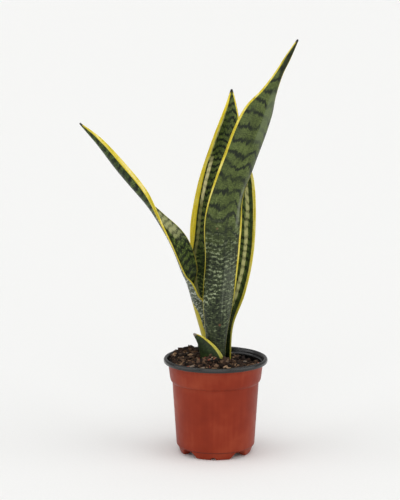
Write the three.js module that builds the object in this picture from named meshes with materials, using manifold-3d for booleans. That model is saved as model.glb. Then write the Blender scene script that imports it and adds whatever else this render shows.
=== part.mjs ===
// A potted snake plant: a thermoformed nursery pot on four hollow feet, filled
// with potting mix, and a rosette of five stiff, channelled leaves that grow
// from a short creeping stem in the soil.
// Millimetres, +Z up. The front, which shows the short leaf and the outer face
// of the tall leaf, looks along -Y. The origin is the middle of the footprint
// of the whole plant, on the surface it stands on.
import * as THREE from "three";
import { mergeVertices } from "three/addons/utils/BufferGeometryUtils.js";
import Module from "manifold-3d";

const wasm = await Module();
wasm.setup();

// ---------------------------------------------------------------- dimensions

// The leaves lean further to the left than to the right, so the pot's axis
// stands to the right of the middle of the footprint.
const POT_X = 28.8;
const POT_Y = 0;

const GAP = 0.3; // clearance between neighbouring solids

// Pot: one plastic sheet. The profile is the middle of the sheet, [radius, z],
// from the centre of the floor up the wall and over the rolled rim.
const SHEET = 1.0;
const POT_TURN = -4; // degrees, the pot's feet against the front
const POT_SEGMENTS = 40;
const FLOOR_Z = 7.5;
const POT_PROFILE = [
  [0, 9.5],
  [13.5, 9.5],
  [15.2, 9.0],
  [17.6, FLOOR_Z],
  [40.2, FLOOR_Z],
  [41.6, 8.1],
  [42.3, 10.0],
  [46.7, 78.6],
  [47.1, 79.7],
  [48.3, 80.9],
  [49.1, 82.6],
  [49.4, 84.6],
  [50.9, 97.0],
  [51.2, 99.0],
  [52.3, 101.2],
  [53.0, 103.9],
  [53.9, 104.9],
  [55.0, 104.9],
  [55.9, 104.1],
  [56.2, 102.6],
  [55.8, 100.9],
];

// Feet: four hollow blocks under the edge of the floor, each with a shallow
// half-round groove across its middle. Each ring is one level of a foot:
// [z, inner radius, outer radius, half angle in degrees].
const FOOT_COUNT = 4;
const FOOT_RINGS = [
  [0, 31.8, 38.2, 28.6],
  [0.5, 31.1, 38.9, 29.6],
  [7.6, 29.0, 40.9, 37.0],
];
const FOOT_RADIUS = 35; // from the axis to the middle of a foot
const FOOT_SIDES = 6; // flats along each of its arcs
const FOOT_CORNER = 0.9; // how far its corners are drawn in
const FOOT_GROOVE = 2.6; // radius of the groove
const DRAIN = 7.0; // diameter of the drain holes
const DRAIN_RADIUS = 33.4; // between the feet

// Soil: a plug of the pot's inside with an uneven top, which is made of rings
// at these shares of its radius.
const SOIL_SEGMENTS = 40;
const SOIL_RINGS = [0.965, 0.89, 0.8, 0.7, 0.59, 0.48, 0.36, 0.24, 0.12];
const SOIL_TOP = 99.6;
// Clods and hollows on the top: [x, y, height, radius].
const CLODS = [
  [0, 0, 3.6, 24],
  [-27, 30, 6.4, 12],
  [-38, 14, 5.6, 11],
  [-12, 38, 5.6, 10],
  [-38, -12, 3.4, 11],
  [-26, -31, 1.0, 8],
  [-4, -20, 9.6, 10],
  [-17, -18, 4.4, 8],
  [11, -16, 4.4, 8],
  [21, -26, 2.6, 7],
  [5, -38, -1.6, 7],
  [32, -18, 1.6, 8],
  [22, 6, 3.0, 9],
  [40, 28, -6.0, 15],
  [42, -4, -2.0, 10],
  [-14, -41, -1.2, 8],
];

// Creeping stem: [x, y, z, half width, half height] along its length, and the
// thick roots that grow from it: [x, y, z, radius] along each.
const STEM_SIDES = 12;
const ROOT_SIDES = 6;
const STEM = [
  [-3, -19, 57.5, 2.5, 2],
  [-2.5, -16, 58, 7.5, 6],
  [-1, -8, 58.5, 9.5, 7.5],
  [2, 3, 58.5, 12, 8],
  [3, 12, 58.5, 11.5, 7.5],
  [1.5, 21, 58, 8, 6],
  [1, 25, 57.5, 2.5, 2],
];
const STEM_FLAT = 65.6; // the leaves' sheaths are seated on this level
const ROOTS = [
  [[6, 4, 57, 2.4], [18, 3, 51, 2.0], [27, 6, 40, 1.7], [30, 10, 26, 1.2]],
  [[-4, -4, 57, 2.4], [-17, -8, 52, 2.0], [-26, -13, 40, 1.7], [-27, -16, 24, 1.2]],
  [[0, -12, 56, 2.2], [4, -22, 47, 1.9], [7, -27, 34, 1.6], [5, -28, 20, 1.1]],
  [[1, 18, 56, 2.2], [-8, 26, 48, 1.9], [-14, 29, 35, 1.6], [-13, 31, 21, 1.1]],
  [[3, 8, 54, 2.4], [5, 11, 44, 2.1], [2, 8, 32, 1.7], [4, 4, 18, 1.2]],
];

// Leaves. Each row is one place along the leaf, from the sheath to the tip,
// measured from the pot's axis:
//   x, y, z    the middle of the outer (convex) face
//   width      across the leaf, along its curve
//   roll       the way the outer face looks, degrees: 0 to the front, 90 right
//   curl       how far the leaf is rolled into a channel, degrees
//   thickness  in the middle; the edges are EDGE thick
const EDGE = 0.8;
const STATIONS = 26;
const ACROSS = 8;
const LEAVES = {
  leaf_front: [
    [0, -8, 66, 22, 0, 150, 3.8],
    [0, -9.5, 105, 27, 0, 140, 3.6],
    [0.8, -10.5, 129, 29, 2, 132, 3.4],
    [3.2, -12, 170, 41, 3, 125, 3.0],
    [7.4, -12, 214, 44, 4, 120, 2.8],
    [9.4, -12, 252, 49.5, 8, 120, 2.6],
    [16.6, -12, 285, 47, 24, 122, 2.4],
    [31.5, -11, 322, 51, 34, 120, 2.2],
    [43, -8.5, 352, 51, 36, 116, 2.0],
    [51.5, -4, 374, 43, 36, 110, 1.9],
    [58.5, 1, 393, 22.5, 30, 100, 1.8],
    [67.5, 6, 413, 10.5, 20, 90, 1.6],
    [76.7, 9, 430, 7.2, 10, 90, 1.5],
    [87.4, 12, 449.5, 1.6, 0, 90, 1.3],
  ],
  leaf_left: [
    [-7, 4, 66, 20, -45, 110, 3.6],
    [-6, 5.5, 105, 24, -42, 92, 3.4],
    [-8.5, 7.5, 129, 28, -40, 76, 3.2],
    [-16.5, 11, 150, 29, -49, 90, 3.0],
    [-25.1, 11.1, 169, 33, -74, 88, 2.9],
    [-29.3, 8.5, 183, 41.5, -89, 94, 2.8],
    [-33.4, 7.3, 198, 40, -108, 110, 2.7],
    [-44.0, -1.5, 230.3, 34, -118.5, 113, 2.6],
    [-62.2, -6, 258, 26.5, -95, 105, 2.4],
    [-81.8, -9, 286, 24.5, -64, 105, 2.2],
    [-104.6, -9, 314, 23, -60, 105, 2.0],
    [-126, -6, 341.5, 13.5, -55, 105, 1.8],
    [-145.3, -3, 361.7, 1.6, -50, 105, 1.4],
  ],
  leaf_back_left: [
    [1, 19.5, 66, 18, 176, 125, 3.6],
    [0.5, 23, 105, 22, 176, 125, 3.4],
    [-3, 33, 145, 31, 176, 115, 3.0],
    [-7, 39.5, 180, 40, 174, 112, 2.9],
    [-9, 39, 212, 40, 172, 110, 2.8],
    [-9.5, 35, 245, 40, 172, 108, 2.6],
    [-3, 28, 290, 37, 174, 105, 2.4],
    [7, 24, 330, 32, 178, 100, 2.2],
    [14.7, 21, 362, 23.5, 180, 95, 1.9],
    [16.5, 20, 380, 12.5, 180, 90, 1.7],
    [17, 20, 396, 1.6, 180, 90, 1.4],
  ],
  leaf_back_right: [
    [11, 8.5, 66, 18, 160, 125, 3.6],
    [10.5, 9.5, 105, 19.5, 160, 122, 3.3],
    [11.6, 10, 141, 22.5, 164, 115, 3.0],
    [19.8, 13, 178, 34, 168, 112, 2.8],
    [26.3, 18, 215, 37, 170, 110, 2.8],
    [29, 20, 250, 35, 174, 105, 2.6],
    [30, 20, 285, 30, 178, 105, 2.3],
    [29, 19, 308, 22, 180, 100, 2.0],
    [27, 17, 330, 1.6, 180, 90, 1.4],
  ],
  leaf_short: [
    [-3, -13, 67, 24, -16, 135, 3.2],
    [-4, -15, 92, 31, -20, 135, 3.0],
    [-6, -17, 103, 33, -22, 130, 2.8],
    [-10.5, -17, 115, 26.5, -28, 120, 2.4],
    [-16.8, -15, 126.5, 14, -33, 110, 2.0],
    [-24.2, -12, 134.5, 1.6, -35, 100, 1.3],
  ],
};

// ------------------------------------------------------------------- helpers

const rad = THREE.MathUtils.degToRad;

// A closed three.js geometry as a solid for cutting and joining.
function solid(geometry) {
  const g = geometry.clone();
  g.deleteAttribute("normal");
  g.deleteAttribute("uv");
  const merged = mergeVertices(g, 1e-4);
  const kept = [];
  const ids = merged.index.array;
  for (let i = 0; i < ids.length; i += 3) {
    const [a, b, c] = [ids[i], ids[i + 1], ids[i + 2]];
    if (a !== b && b !== c && c !== a) kept.push(a, b, c);
  }
  return new wasm.Manifold(
    new wasm.Mesh({
      numProp: 3,
      vertProperties: merged.attributes.position.array,
      triVerts: new Uint32Array(kept),
    }),
  );
}

// A solid as a named mesh.
function meshOf(name, made, material) {
  const m = made.getMesh();
  const g = new THREE.BufferGeometry();
  const xyz = new Float32Array(m.numVert * 3);
  for (let i = 0; i < m.numVert; i++)
    for (let k = 0; k < 3; k++)
      xyz[3 * i + k] = m.vertProperties[m.numProp * i + k];
  g.setAttribute("position", new THREE.BufferAttribute(xyz, 3));
  g.setIndex(new THREE.BufferAttribute(new Uint32Array(m.triVerts), 1));
  g.computeVertexNormals();
  const mesh = new THREE.Mesh(g, material);
  mesh.name = name;
  return mesh;
}

// A closed skin over rings of the same number of points. Point k of a ring
// faces point n-1-k across it, which is how the two ends are closed. flipped
// points split their quads the other way, so that both faces of a leaf match.
function loft(rings, flipped = () => false) {
  const n = rings[0].length;
  const xyz = rings.flat().flatMap((p) => [p.x, p.y, p.z]);
  const index = [];
  for (let i = 0; i + 1 < rings.length; i++)
    for (let k = 0; k < n; k++) {
      const l = (k + 1) % n;
      const [a, b, c, d] = [i * n + k, i * n + l, (i + 1) * n + l, (i + 1) * n + k];
      if (flipped(k)) index.push(a, b, d, b, c, d);
      else index.push(a, b, c, a, c, d);
    }
  for (const [start, up] of [[0, false], [(rings.length - 1) * n, true]])
    for (let k = 0; k + 1 < n / 2; k++) {
      const [a, b, c, d] = [k, k + 1, n - 2 - k, n - 1 - k].map((v) => v + start);
      if (up) index.push(a, b, c, a, c, d);
      else index.push(a, c, b, a, d, c);
    }
  const g = new THREE.BufferGeometry();
  g.setAttribute("position", new THREE.Float32BufferAttribute(xyz, 3));
  g.setIndex(index);
  return g;
}

// A profile of [radius, z] points turned round Z. It starts and ends on the
// axis, and runs outwards first.
function turned(profile, segments) {
  const g = new THREE.LatheGeometry(
    profile.map(([r, z]) => new THREE.Vector2(r, z)),
    segments,
  );
  return g.rotateX(Math.PI / 2);
}

// A line of [radius, z] points moved sideways by d, to the right of its run.
function offsetLine(line, d) {
  return line.map(([r, z], i) => {
    const before = line[Math.max(i - 1, 0)];
    const after = line[Math.min(i + 1, line.length - 1)];
    const a = new THREE.Vector2(r - before[0], z - before[1]).normalize();
    const b = new THREE.Vector2(after[0] - r, after[1] - z).normalize();
    if (i === 0) a.copy(b);
    if (i === line.length - 1) b.copy(a);
    const m = new THREE.Vector2(a.y + b.y, -a.x - b.x).normalize();
    const grow = d / Math.max(0.6, m.x * a.y - m.y * a.x);
    return [i === 0 ? 0 : r + m.x * grow, z + m.y * grow];
  });
}

// Smooth value through knots: a cubic with finite-difference tangents.
function smooth(knots, values, t) {
  const last = knots.length - 1;
  let i = 0;
  while (i < last - 1 && t >= knots[i + 1]) i++;
  const slope = (k) => {
    const a = Math.max(k - 1, 0);
    const b = Math.min(k + 1, last);
    return (values[b] - values[a]) / (knots[b] - knots[a]);
  };
  const h = knots[i + 1] - knots[i];
  const s = (t - knots[i]) / h;
  return (
    (2 * s ** 3 - 3 * s ** 2 + 1) * values[i] +
    (s ** 3 - 2 * s ** 2 + s) * h * slope(i) +
    (3 * s ** 2 - 2 * s ** 3) * values[i + 1] +
    (s ** 3 - s ** 2) * h * slope(i + 1)
  );
}

// Knots at the length along a chain of rows that start with x, y, z.
function lengths(rows) {
  const knots = [0];
  for (let i = 1; i < rows.length; i++)
    knots.push(
      knots[i - 1] +
        Math.hypot(...[0, 1, 2].map((k) => rows[i][k] - rows[i - 1][k])),
    );
  return knots;
}

// ------------------------------------------------------------------- leaves

// One leaf, or with grow its shape enlarged for the slot in the soil.
function leafGeometry(rows, grow = 0) {
  const knots = lengths(rows);
  const whole = knots[knots.length - 1];
  const at = (t) => rows[0].map((_, k) => smooth(knots, rows.map((r) => r[k]), t));
  const place = (t) => new THREE.Vector3(...at(t).slice(0, 3));
  const rings = [];
  for (let i = 0; i < STATIONS; i++) {
    const t = (whole * i) / (STATIONS - 1);
    const [x, y, z, width, roll, curl, thickness] = at(t);
    const along = place(Math.min(t + 0.5, whole)).sub(place(Math.max(t - 0.5, 0)));
    along.normalize();
    const out = new THREE.Vector3(Math.sin(rad(roll)), -Math.cos(rad(roll)), 0);
    out.addScaledVector(along, -out.dot(along)).normalize();
    const side = new THREE.Vector3().crossVectors(along, out);
    const centre = new THREE.Vector3(x, y, z);
    if (i === 0) centre.addScaledVector(along, -grow);
    const bend = rad(curl);
    const radius = width / bend;
    const edgeMore = (2 * grow) / width;
    const point = (u, face) => {
      const phi = (u * (1 + edgeMore) * bend) / 2;
      const thick = EDGE + (thickness - EDGE) * (1 - u * u);
      const off = face * (thick / 2 + grow);
      return centre
        .clone()
        .addScaledVector(side, (radius + off) * Math.sin(phi))
        .addScaledVector(out, (radius + off) * Math.cos(phi) - radius);
    };
    const ring = [];
    for (let j = 0; j < ACROSS; j++) ring.push(point((2 * j) / (ACROSS - 1) - 1, 1));
    for (let j = ACROSS - 1; j >= 0; j--) ring.push(point((2 * j) / (ACROSS - 1) - 1, -1));
    rings.push(ring);
  }
  return loft(rings, (k) => k >= ACROSS);
}

// ---------------------------------------------------------------------- pot

// The inner radius, outer radius and half angle of a foot at a height. Above
// the last ring they run straight on.
function footLevel(z) {
  const low = z < FOOT_RINGS[1][0] ? 0 : 1;
  const [a, b] = [FOOT_RINGS[low], FOOT_RINGS[low + 1]];
  const s = (z - a[0]) / (b[0] - a[0]);
  return [1, 2, 3].map((k) => THREE.MathUtils.lerp(a[k], b[k], s));
}

// One foot, as the outside of the pot (inset 0), the hollow inside it, or what
// fills the hollow from a level above its groove.
function footGeometry(inset, top, from = inset) {
  const rings = [from, from + 0.5, top].map((z) => {
    const [inner, outer, half] = footLevel(z - inset);
    const ring = [];
    for (const [r, sign] of [[outer, 1], [inner, -1]])
      for (let k = 0; k <= FOOT_SIDES; k++) {
        const a = sign * ((2 * k) / FOOT_SIDES - 1) * (rad(half) - inset / r);
        const drawn = inset + (k % FOOT_SIDES === 0 ? FOOT_CORNER : 0);
        const rr = r - sign * drawn;
        ring.push(new THREE.Vector3(rr * Math.sin(a), -rr * Math.cos(a), z));
      }
    return ring;
  });
  return loft(rings);
}

// The groove under a foot, a half-round channel that runs out from the axis
// and right through the foot.
function grooveGeometry(radius) {
  const length = 16;
  return new THREE.CylinderGeometry(radius, radius, length, 12)
    .translate(0, -FOOT_RADIUS, 0);
}

function footSolid(inset, top, k) {
  return solid(footGeometry(inset, top))
    .subtract(solid(grooveGeometry(FOOT_GROOVE + inset)))
    .rotate([0, 0, POT_TURN + (k * 360) / FOOT_COUNT]);
}

const outside = offsetLine(POT_PROFILE, SHEET / 2);
const inside = offsetLine(POT_PROFILE, -SHEET / 2);

let potSolid = solid(turned([...outside, ...inside.toReversed()], POT_SEGMENTS));
for (let k = 0; k < FOOT_COUNT; k++)
  potSolid = potSolid.add(footSolid(0, FLOOR_Z + 0.1, k));
for (let k = 0; k < FOOT_COUNT; k++)
  potSolid = potSolid.subtract(footSolid(SHEET, FLOOR_Z + 3, k));
// The drain holes run right through the floor, also where it is raised.
const drain = solid(
  new THREE.CylinderGeometry(DRAIN / 2, DRAIN / 2, FLOOR_Z, 20)
    .rotateX(Math.PI / 2)
    .translate(0, 0, FLOOR_Z + 1),
);
potSolid = potSolid.subtract(drain);
for (let k = 0; k < FOOT_COUNT; k++) {
  const a = rad(POT_TURN + 45 + (k * 360) / FOOT_COUNT);
  potSolid = potSolid.subtract(
    drain.translate([DRAIN_RADIUS * Math.cos(a), DRAIN_RADIUS * Math.sin(a), 0]),
  );
}

// --------------------------------------------------------------------- soil

// The outer line of the soil, a gap inside the pot, from the middle of the
// bottom; and its radius at a height.
const plug = offsetLine(POT_PROFILE, -SHEET / 2 - GAP);

function wallRadius(z) {
  const wall = plug.slice(5);
  let i = 0;
  while (i < wall.length - 2 && z > wall[i + 1][1]) i++;
  const [[r0, z0], [r1, z1]] = [wall[i], wall[i + 1]];
  return THREE.MathUtils.lerp(r0, r1, (z - z0) / (z1 - z0));
}

function soilHeight(x, y) {
  let z = SOIL_TOP - 0.035 * x;
  for (const [cx, cy, height, radius] of CLODS)
    z += height * Math.exp(-((x - cx) ** 2 + (y - cy) ** 2) / radius ** 2);
  z += 0.5 * Math.sin(0.62 * x + 1.3) * Math.sin(0.55 * y + 0.4);
  return z;
}

function soilGeometry() {
  const rings = [];
  const ring = (r, z) => {
    const points = [];
    for (let s = 0; s < SOIL_SEGMENTS; s++) {
      const a = (2 * Math.PI * s) / SOIL_SEGMENTS;
      const rr = typeof r === "function" ? r(a) : r;
      const [x, y] = [rr * Math.cos(a), rr * Math.sin(a)];
      points.push(new THREE.Vector3(x, y, typeof z === "function" ? z(x, y) : z));
    }
    rings.push(points);
  };
  for (const [r, z] of plug.slice(0, 12)) ring(Math.max(r, 0.01), z);
  // The edge of the top lies on the wall at its own height, and the last two
  // rings below it follow the flare of the rim up to there.
  const edge = (a) => {
    let r = 50;
    for (let k = 0; k < 6; k++)
      r = wallRadius(soilHeight(r * Math.cos(a), r * Math.sin(a))) - 0.1;
    return r;
  };
  const below = (level, depth) => (a) =>
    Math.min(level, soilHeight(edge(a) * Math.cos(a), edge(a) * Math.sin(a)) - depth);
  for (const [level, depth] of [[96.5, 1.2], [99, 0.6]]) {
    const z = below(level, depth);
    ring((a) => wallRadius(z(a)) - 0.1, (x, y) => z(Math.atan2(y, x)));
  }
  ring(edge, soilHeight);
  for (const s of SOIL_RINGS) ring((a) => s * edge(a), soilHeight);
  ring(0.01, soilHeight);
  return loft(rings);
}

// A tube with an elliptical section along rows of x, y, z and two half sizes.
function tubeGeometry(rows, sides, grow = 0) {
  const [first, last] = [rows[0], rows[rows.length - 1]];
  const level = new THREE.Vector3(first[1] - last[1], last[0] - first[0], 0);
  const rings = rows.map((row, i) => {
    const before = rows[Math.max(i - 1, 0)];
    const after = rows[Math.min(i + 1, rows.length - 1)];
    const along = new THREE.Vector3(
      ...[0, 1, 2].map((k) => after[k] - before[k]),
    ).normalize();
    const up = new THREE.Vector3().crossVectors(along, level).normalize();
    const side = new THREE.Vector3().crossVectors(up, along);
    const [a, b] = [row[3] + grow, (row[4] ?? row[3]) + grow];
    const end = i === 0 ? -grow : i === rows.length - 1 ? grow : 0;
    const ring = [];
    for (let k = 0; k < sides; k++) {
      const phi = (2 * Math.PI * (k + 0.5)) / sides;
      ring.push(
        new THREE.Vector3(row[0], row[1], row[2])
          .addScaledVector(along, end)
          .addScaledVector(side, a * Math.cos(phi))
          .addScaledVector(up, b * Math.sin(phi)),
      );
    }
    return ring;
  });
  return loft(rings);
}

function rhizomeSolid(grow) {
  // A block whose top is the flat on which the leaves are seated.
  const size = 90;
  const block = new THREE.BoxGeometry(size, size, size);
  block.translate(0, 0, STEM_FLAT + grow - size / 2);
  let made = solid(tubeGeometry(STEM, STEM_SIDES, grow)).intersect(solid(block));
  for (const root of ROOTS)
    made = made.add(solid(tubeGeometry(root, ROOT_SIDES, grow)));
  return made;
}

let soilSolid = solid(soilGeometry());
const footFill = solid(
  footGeometry(SHEET + 1.5 * GAP, FLOOR_Z + 3, FOOT_GROOVE + SHEET + GAP),
);
for (let k = 0; k < FOOT_COUNT; k++)
  soilSolid = soilSolid.add(
    footFill.rotate([0, 0, POT_TURN + (k * 360) / FOOT_COUNT]),
  );
soilSolid = soilSolid.subtract(rhizomeSolid(1.5 * GAP));
for (const rows of Object.values(LEAVES))
  soilSolid = soilSolid.subtract(solid(leafGeometry(rows, GAP)));

// ------------------------------------------------------------ the whole plant

const terracotta = new THREE.MeshStandardMaterial({
  name: "red-brown polystyrene sheet",
  color: 0x883b2b,
  roughness: 0.45,
});
const mix = new THREE.MeshStandardMaterial({
  name: "potting mix",
  color: 0x4a3426,
  roughness: 0.95,
});
const stem = new THREE.MeshStandardMaterial({
  name: "rhizome",
  color: 0xc9a066,
  roughness: 0.7,
});
const leaf = new THREE.MeshStandardMaterial({
  name: "snake plant leaf",
  color: 0x4b5c32,
  roughness: 0.4,
});

const plant = new THREE.Group();
plant.name = "potted_snake_plant";
plant.add(meshOf("pot", potSolid, terracotta));
plant.add(meshOf("soil", soilSolid, mix));
plant.add(meshOf("rhizome", rhizomeSolid(0), stem));
for (const [name, rows] of Object.entries(LEAVES))
  plant.add(meshOf(name, solid(leafGeometry(rows)), leaf));
plant.position.set(POT_X, POT_Y, 0);

export default plant;
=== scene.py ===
# %% [markdown]
# # A snake plant in a nursery pot
# This lesson dresses a houseplant: five stiff, channelled leaves with yellow
# margins, a thin plastic pot with a rolled rim and grooved feet, and crumbly
# potting mix. The solid model gives the true sizes. Everything that is made
# here goes where the solids are, and only the surface gets richer.

# %% Load the frame
import math
import random

import bpy
from mathutils import Euler, Matrix, Vector, noise


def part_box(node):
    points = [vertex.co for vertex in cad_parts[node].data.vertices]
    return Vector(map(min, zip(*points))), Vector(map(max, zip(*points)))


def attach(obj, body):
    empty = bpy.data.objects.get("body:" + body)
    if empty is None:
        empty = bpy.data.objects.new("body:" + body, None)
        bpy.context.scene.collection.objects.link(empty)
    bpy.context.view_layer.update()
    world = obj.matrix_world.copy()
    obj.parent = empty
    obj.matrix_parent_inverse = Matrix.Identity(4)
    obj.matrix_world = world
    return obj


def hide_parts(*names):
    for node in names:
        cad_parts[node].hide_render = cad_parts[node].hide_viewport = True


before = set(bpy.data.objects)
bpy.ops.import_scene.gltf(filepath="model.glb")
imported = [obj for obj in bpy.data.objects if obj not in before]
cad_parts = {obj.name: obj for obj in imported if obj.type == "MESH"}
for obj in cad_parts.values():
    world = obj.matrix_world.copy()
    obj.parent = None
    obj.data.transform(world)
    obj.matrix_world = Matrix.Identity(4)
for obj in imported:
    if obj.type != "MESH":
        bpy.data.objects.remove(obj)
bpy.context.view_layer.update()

MM = 0.001
print("solids:", sorted(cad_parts))

# %% [markdown]
# ## Where the pot stands
# The leaves lean further to the left than to the right. The origin is in the
# middle of the whole plant's footprint, so the pot's axis is beside it. It is
# read from the pot's own box, and every piece is placed from it.

# %% The pot's axis
pot_low, pot_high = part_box("pot")
AXIS = Vector(((pot_low.x + pot_high.x) / 2, (pot_low.y + pot_high.y) / 2, 0))
print("pot axis", [round(c / MM, 1) for c in AXIS], "mm, rim at", round(pot_high.z / MM, 1), "mm")

# %% [markdown]
# ## The camera
# The photograph is upright, 400 by 500, and looks a little down on the plant
# from about two metres away with a long lens. A long lens keeps the leaves'
# proportions natural. The lens is worked out from the field of view that the
# pot's known size and its height in the picture give.

# %% Camera
CAMERA_PLACE = Vector((-0.017, -1.934, 0.558))
CAMERA_DOWN = 9.8
PICTURE_HEIGHT = 500
FOCAL_PIXELS = 1818
SENSOR = 36

camera_data = bpy.data.cameras.new("camera")
camera_data.sensor_width = SENSOR
camera_data.lens = FOCAL_PIXELS / PICTURE_HEIGHT * SENSOR
camera_data.clip_end = 100
camera = bpy.data.objects.new("camera", camera_data)
camera.location = AXIS + CAMERA_PLACE
camera.rotation_euler = (math.radians(90 - CAMERA_DOWN), 0, 0)
bpy.context.scene.collection.objects.link(camera)
bpy.context.scene.camera = camera
print("lens", round(camera_data.lens, 1), "mm")

# %% [markdown]
# ## How the picture is developed
# Blender's usual view transform rolls bright and saturated colours off towards
# white, like film. A product photograph in an even light has a white ground
# and keeps its colours, so the plain transform is chosen here. A surface lit
# by a light of strength 1 then shows just the colour that its material has.

# %% View transform
bpy.context.scene.view_settings.view_transform = "Standard"
print("view transform", bpy.context.scene.view_settings.view_transform)

# %% [markdown]
# ## Helpers for modelling by hand
# Blender's operators act on whatever is selected, so each step first selects
# just what it needs. The helpers below select, apply a modifier, and hand a
# finished piece to the frame.

# %% Selecting and applying


def select_only(*pieces):
    bpy.ops.object.select_all(action="DESELECT")
    for piece in pieces:
        piece.select_set(True)
    bpy.context.view_layer.objects.active = pieces[0]


def edit(piece):
    select_only(piece)
    bpy.ops.object.mode_set(mode="EDIT")
    bpy.ops.mesh.select_all(action="SELECT")


def leave_edit():
    bpy.ops.object.mode_set(mode="OBJECT")


def apply_modifier(piece, kind, **settings):
    modifier = piece.modifiers.new(kind.lower(), kind)
    for name, value in settings.items():
        setattr(modifier, name, value)
    select_only(piece)
    bpy.ops.object.modifier_apply(modifier=modifier.name)


def apply_place(piece):
    select_only(piece)
    bpy.ops.object.transform_apply(location=True, rotation=True, scale=True)


def hand_over(piece, slot, *nodes):
    """The piece rides on the plant, and stands for these solids."""
    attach(piece, "root")
    if nodes:
        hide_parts(*nodes)
    print(piece.name, len(piece.data.polygons), "faces")


# %% [markdown]
# A turned shape starts as a line. The line is drawn as one would by hand: one
# vertex is extruded from point to point in the plane of the profile. Bevelling
# the vertices rounds the corners, and a spin turns the line round the axis.

# %% Drawing and spinning a profile
BESIDE_WALL = AXIS + Vector((45, 0, 50)) * MM


def draw_profile(name, profile):
    """A chain of edges through [radius, height] points in mm, beside the axis."""
    points = [AXIS + Vector((r * MM, 0, z * MM)) for r, z in profile]
    bpy.ops.mesh.primitive_plane_add(size=MM, location=points[0])
    piece = bpy.context.object
    piece.name = name
    apply_place(piece)
    edit(piece)
    bpy.ops.mesh.merge(type="CENTER")
    for here, there in zip(points, points[1:]):
        step = {"value": there - here}
        bpy.ops.mesh.extrude_region_move(TRANSFORM_OT_translate=step)
    leave_edit()
    return piece


def spin(piece, steps):
    edit(piece)
    bpy.ops.mesh.spin(steps=steps, angle=math.tau, center=AXIS, axis=(0, 0, 1))
    bpy.ops.mesh.select_all(action="SELECT")
    bpy.ops.mesh.remove_doubles(threshold=0.01 * MM)
    bpy.ops.mesh.normals_make_consistent(inside=False)
    leave_edit()


def face_outwards(piece):
    """Turns all faces over if the wall's nearest face looks to the axis."""
    nearest = min(piece.data.polygons, key=lambda face: (face.center - BESIDE_WALL).length)
    if nearest.normal.x < 0:
        edit(piece)
        bpy.ops.mesh.flip_normals()
        leave_edit()


# %% [markdown]
# ## Helpers for materials
# A colour is written as the sRGB hex value that the eye sees, and turned into
# the linear numbers that the shader mixes. One function adds a node with its
# settings and its links, so a material reads as a list of steps.

# %% Colours and nodes


def linear(hex_colour):
    parts = [int(hex_colour[i : i + 2], 16) / 255 for i in (0, 2, 4)]
    mixed = [c / 12.92 if c <= 0.04045 else ((c + 0.055) / 1.055) ** 2.4 for c in parts]
    return (*mixed, 1)


def feed(tree, node, inputs):
    """Inputs are values, other nodes, or one output of a node."""
    for name, value in inputs.items():
        if isinstance(value, bpy.types.Node):
            value = next(output for output in value.outputs if output.enabled)
        if isinstance(value, bpy.types.NodeSocket):
            tree.links.new(value, node.inputs[name])
        else:
            node.inputs[name].default_value = value


def put(tree, kind, inputs=None, **settings):
    """A shader node with its settings and links."""
    made = tree.nodes.new("ShaderNode" + kind)
    for name, value in settings.items():
        setattr(made, name, value)
    feed(tree, made, inputs or {})
    return made


def new_material(name):
    """An empty material, its tree and its Principled shader."""
    material = bpy.data.materials.new(name)
    material.use_nodes = True
    return material, material.node_tree, material.node_tree.nodes["Principled BSDF"]


def fill_ramp(ramp, stops):
    """Puts (position, hex colour) stops into a Color Ramp node."""
    elements = ramp.color_ramp.elements
    while len(elements) < len(stops):
        elements.new(0.5)
    for element, (position, colour) in zip(elements, stops):
        element.position = position
        element.color = linear(colour)


def per(size):
    """The scale that makes a pattern's features this many mm wide."""
    return 1 / (size * MM)


print("red-brown in linear numbers", [round(part, 3) for part in linear("832A12")])

# %% [markdown]
# ## The pot
# The real pot is one sheet of polystyrene, about a millimetre thick, that was
# heated and drawn into a mould. It could be built from a cylinder for the body
# and a ring for the rim, but a drawn sheet has no joints. So its middle line
# is drawn once, from the middle of the floor up the wall and over the rolled
# rim, and spun. The sheet gets its thickness afterwards.

# %% The pot's profile
SHEET = 1.0
FLOOR_Z = 7.5
FLOOR_RINGS = [28.0 + 0.38 * k for k in range(32)]
POT_STEPS = 400

floor_line = [(0, 9.5), (13.5, 9.5), (15.2, 9.0), (17.6, FLOOR_Z), (23, FLOOR_Z)]
floor_line += [(r, FLOOR_Z) for r in FLOOR_RINGS]
wall_line = [(40.2, 7.7), (40.2, 8.6), (41.5, 8.7), (42.0, 9.4), (42.3, 10.4), (42.8, 18)]
wall_line += [(43.9, 35), (45.0, 52), (46.1, 69), (46.55, 76.8), (46.35, 78.2), (46.5, 79.0)]
collar_line = [(47.0, 79.5), (47.7, 80.0), (48.4, 80.9), (48.9, 82.1), (49.2, 83.4)]
collar_line += [(49.4, 84.8), (49.75, 87.5), (50.3, 92), (50.9, 97), (51.05, 98.6)]
rim_line = [(51.2, 99.2), (51.8, 99.6), (52.15, 100.1), (52.4, 101.3), (52.65, 102.5), (52.95, 103.6)]
rim_line += [(53.4, 104.4), (54.05, 104.85), (54.9, 104.88), (55.6, 104.5), (56.05, 103.7)]
rim_line += [(56.2, 102.8), (56.1, 101.8), (55.8, 100.9)]

pot = draw_profile("pot_sheet", floor_line + wall_line + collar_line + rim_line)
spin(pot, POT_STEPS)
face_outwards(pot)
print("pot sheet:", len(pot.data.vertices), "vertices")

# %% [markdown]
# The four feet are pressed down from the floor, as the mould does it. Each is
# a block with sloping sides and a half-round groove across its middle, so that
# water can run out. A formula says how deep the sheet goes at each point, and
# the vertices of the floor are moved there. Sloping sides come by themselves,
# because the sheet has to slide out of its mould.

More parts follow.
